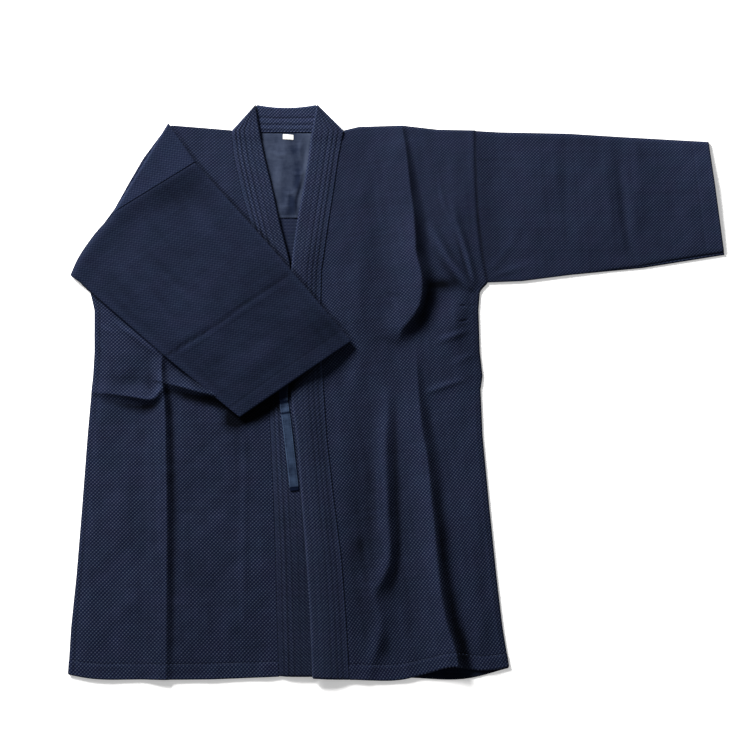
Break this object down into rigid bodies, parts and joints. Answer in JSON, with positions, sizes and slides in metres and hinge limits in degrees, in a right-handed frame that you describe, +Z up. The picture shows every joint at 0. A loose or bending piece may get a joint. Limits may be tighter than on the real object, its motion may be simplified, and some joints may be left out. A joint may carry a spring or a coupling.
{
  "type": "kendo jacket laid flat",
  "caption": "Kendo jacket of thick rice-grain cotton laid flat, left sleeve stretched out, right sleeve folded over the front.",
  "frame": {"origin": "on the table, under the middle of the jacket's outline as it lies", "axes": "+Z up from the table it lies on, +Y towards the collar, +X towards the stretched left sleeve"},
  "size_m": [0.95, 0.8352, 0.0202],
  "materials": {
    "rice_grain_cotton": "matte raised rice-grain weave, indigo",
    "quilted_band": "the same cotton folded over and quilted in rows",
    "lining": "smooth plain cotton",
    "label": "woven, blank",
    "tape": "folded and stitched cotton tape"
  },
  "bodies": {
    "root": {"back": "rice_grain_cotton", "left_front": "rice_grain_cotton", "right_front": "rice_grain_cotton", "left_sleeve": "rice_grain_cotton", "right_sleeve": "rice_grain_cotton", "right_shoulder": "rice_grain_cotton", "left_collar": "quilted_band", "right_collar": "quilted_band", "neck_collar": "quilted_band", "neck_lining": "lining", "label": "label", "tie": "tape"}
  },
  "joints": []
}
